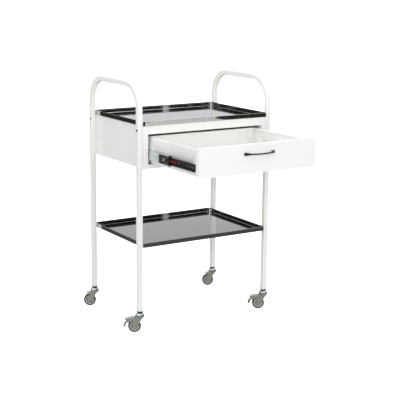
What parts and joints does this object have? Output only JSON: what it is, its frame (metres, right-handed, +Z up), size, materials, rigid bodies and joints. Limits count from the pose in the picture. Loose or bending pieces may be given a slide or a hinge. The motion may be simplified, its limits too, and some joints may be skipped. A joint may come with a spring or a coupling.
{
  "type": "rolling salon trolley",
  "caption": "Salon trolley on swivel casters: two white tube hoops, a steel tray above a casing with a drawer on ball slides, and a lower steel tray.",
  "frame": {"origin": "on the floor, midway between the four legs", "axes": "+Z up, +X to the right across the drawer's front, -Y out of the front, the way the drawer opens"},
  "size_m": [0.6576, 0.7992, 0.958],
  "materials": {
    "hoop_paint": "white powder coat, gloss",
    "casing_paint": "white powder coat, satin",
    "tray_steel": "mirror-polished stainless steel",
    "black_bolt": "black oxide",
    "zinc": "bright zinc plate",
    "black_rail": "black plated steel",
    "black_plastic": "matt black",
    "red_plastic": "dark red, glossy",
    "drawer_paint": "white powder coat, satin",
    "front_board": "white laminate",
    "black_handle": "black, satin",
    "caster_zinc": "bright zinc plate",
    "hub_plastic": "grey plastic, satin",
    "tyre_grey": "dark grey non-marking rubber"
  },
  "bodies": {
    "trolley_frame": {"left_hoop": "hoop_paint", "right_hoop": "hoop_paint", "upper_tray": "tray_steel", "lower_tray": "tray_steel", "tray_screws": "zinc", "tray_rivet_nuts": "zinc", "casing_bolts": "black_bolt", "casing_nuts": "zinc", "front_frame": "casing_paint", "back_panel": "casing_paint", "left_side_panel": "casing_paint", "right_side_panel": "casing_paint", "top_panel": "casing_paint", "bottom_panel": "casing_paint", "left_slide_carrier": "casing_paint", "right_slide_carrier": "casing_paint", "slide_screws": "zinc", "left_outer_rail": "zinc", "right_outer_rail": "zinc", "leg_inserts": "black_plastic", "caster_stems": "zinc", "swivel_balls": "zinc"},
    "drawer": {"drawer_box": "drawer_paint", "drawer_back": "drawer_paint", "drawer_front": "front_board", "drawer_screws": "zinc", "drawer_handle": "black_handle", "handle_screws": "zinc", "left_inner_rail": "black_rail", "right_inner_rail": "black_rail"},
    "left_middle": {"left_middle_rail": "zinc", "left_rail_stop": "black_plastic"},
    "left_outer_cage": {"left_outer_ball_cage": "zinc"},
    "left_inner_cage": {"left_inner_ball_cage": "zinc"},
    "left_lever": {"left_release_lever": "red_plastic"},
    "right_middle": {"right_middle_rail": "zinc", "right_rail_stop": "black_plastic"},
    "right_outer_cage": {"right_outer_ball_cage": "zinc"},
    "right_inner_cage": {"right_inner_ball_cage": "zinc"},
    "right_lever": {"right_release_lever": "red_plastic"},
    "front_left_caster": {"front_left_fork": "caster_zinc", "front_left_axle": "caster_zinc"},
    "front_left_wheel": {"front_left_hub": "hub_plastic", "front_left_tyre": "tyre_grey"},
    "front_left_brake": {"front_left_brake_pedal": "caster_zinc"},
    "front_right_caster": {"front_right_fork": "caster_zinc", "front_right_axle": "caster_zinc"},
    "front_right_wheel": {"front_right_hub": "hub_plastic", "front_right_tyre": "tyre_grey"},
    "front_right_brake": {"front_right_brake_pedal": "caster_zinc"},
    "rear_left_caster": {"rear_left_fork": "caster_zinc", "rear_left_axle": "caster_zinc"},
    "rear_left_wheel": {"rear_left_hub": "hub_plastic", "rear_left_tyre": "tyre_grey"},
    "rear_right_caster": {"rear_right_fork": "caster_zinc", "rear_right_axle": "caster_zinc"},
    "rear_right_wheel": {"rear_right_hub": "hub_plastic", "rear_right_tyre": "tyre_grey"}
  },
  "joints": [
    {"name": "drawer_slide", "type": "slide", "parent": "trolley_frame", "child": "drawer", "axis": [0, -1, 0], "range_m": [-0.3475, 0]},
    {"name": "left_middle_slide", "type": "slide", "parent": "trolley_frame", "child": "left_middle", "axis": [0, -1, 0], "range_m": [-0.17375, 0]},
    {"name": "left_outer_cage_slide", "type": "slide", "parent": "trolley_frame", "child": "left_outer_cage", "axis": [0, -1, 0], "range_m": [-0.08687, 0]},
    {"name": "left_inner_cage_slide", "type": "slide", "parent": "trolley_frame", "child": "left_inner_cage", "axis": [0, -1, 0], "range_m": [-0.26062, 0]},
    {"name": "left_lever_pivot", "type": "hinge", "parent": "drawer", "child": "left_lever", "pos_m": [-0.2477, -0.385, 0.687], "axis": [1, 0, 0], "range_deg": [-6, 6], "stiffness_Nm_per_rad": 0.1},
    {"name": "right_middle_slide", "type": "slide", "parent": "trolley_frame", "child": "right_middle", "axis": [0, -1, 0], "range_m": [-0.17375, 0]},
    {"name": "right_outer_cage_slide", "type": "slide", "parent": "trolley_frame", "child": "right_outer_cage", "axis": [0, -1, 0], "range_m": [-0.08687, 0]},
    {"name": "right_inner_cage_slide", "type": "slide", "parent": "trolley_frame", "child": "right_inner_cage", "axis": [0, -1, 0], "range_m": [-0.26062, 0]},
    {"name": "right_lever_pivot", "type": "hinge", "parent": "drawer", "child": "right_lever", "pos_m": [0.2477, -0.385, 0.687], "axis": [1, 0, 0], "range_deg": [-6, 6], "stiffness_Nm_per_rad": 0.1},
    {"name": "front_left_swivel", "type": "hinge", "parent": "trolley_frame", "child": "front_left_caster", "pos_m": [-0.29, -0.1925, 0], "axis": [0, 0, 1], "continuous": true},
    {"name": "front_left_roll", "type": "hinge", "parent": "front_left_caster", "child": "front_left_wheel", "pos_m": [-0.30711, -0.18214, 0.025], "axis": [0.518, 0.8554, 0], "continuous": true},
    {"name": "front_left_brake_press", "type": "hinge", "parent": "front_left_caster", "child": "front_left_brake", "pos_m": [-0.30454, -0.18369, 0.054], "axis": [-0.518, -0.8554, 0], "range_deg": [0, 10]},
    {"name": "front_right_swivel", "type": "hinge", "parent": "trolley_frame", "child": "front_right_caster", "pos_m": [0.29, -0.1925, 0], "axis": [0, 0, 1], "continuous": true},
    {"name": "front_right_roll", "type": "hinge", "parent": "front_right_caster", "child": "front_right_wheel", "pos_m": [0.27289, -0.18214, 0.025], "axis": [0.518, 0.8554, 0], "continuous": true},
    {"name": "front_right_brake_press", "type": "hinge", "parent": "front_right_caster", "child": "front_right_brake", "pos_m": [0.27546, -0.18369, 0.054], "axis": [-0.518, -0.8554, 0], "range_deg": [0, 10]},
    {"name": "rear_left_swivel", "type": "hinge", "parent": "trolley_frame", "child": "rear_left_caster", "pos_m": [-0.29, 0.1925, 0], "axis": [0, 0, 1], "continuous": true},
    {"name": "rear_left_roll", "type": "hinge", "parent": "rear_left_caster", "child": "rear_left_wheel", "pos_m": [-0.30711, 0.20286, 0.025], "axis": [0.518, 0.8554, 0], "continuous": true},
    {"name": "rear_right_swivel", "type": "hinge", "parent": "trolley_frame", "child": "rear_right_caster", "pos_m": [0.29, 0.1925, 0], "axis": [0, 0, 1], "continuous": true},
    {"name": "rear_right_roll", "type": "hinge", "parent": "rear_right_caster", "child": "rear_right_wheel", "pos_m": [0.27289, 0.20286, 0.025], "axis": [0.518, 0.8554, 0], "continuous": true}
  ],
  "couplings": [
    {"joint": "left_middle_slide", "follows": "drawer_slide", "ratio": 0.5},
    {"joint": "left_outer_cage_slide", "follows": "drawer_slide", "ratio": 0.25},
    {"joint": "left_inner_cage_slide", "follows": "drawer_slide", "ratio": 0.75},
    {"joint": "right_middle_slide", "follows": "drawer_slide", "ratio": 0.5},
    {"joint": "right_outer_cage_slide", "follows": "drawer_slide", "ratio": 0.25},
    {"joint": "right_inner_cage_slide", "follows": "drawer_slide", "ratio": 0.75}
  ]
}
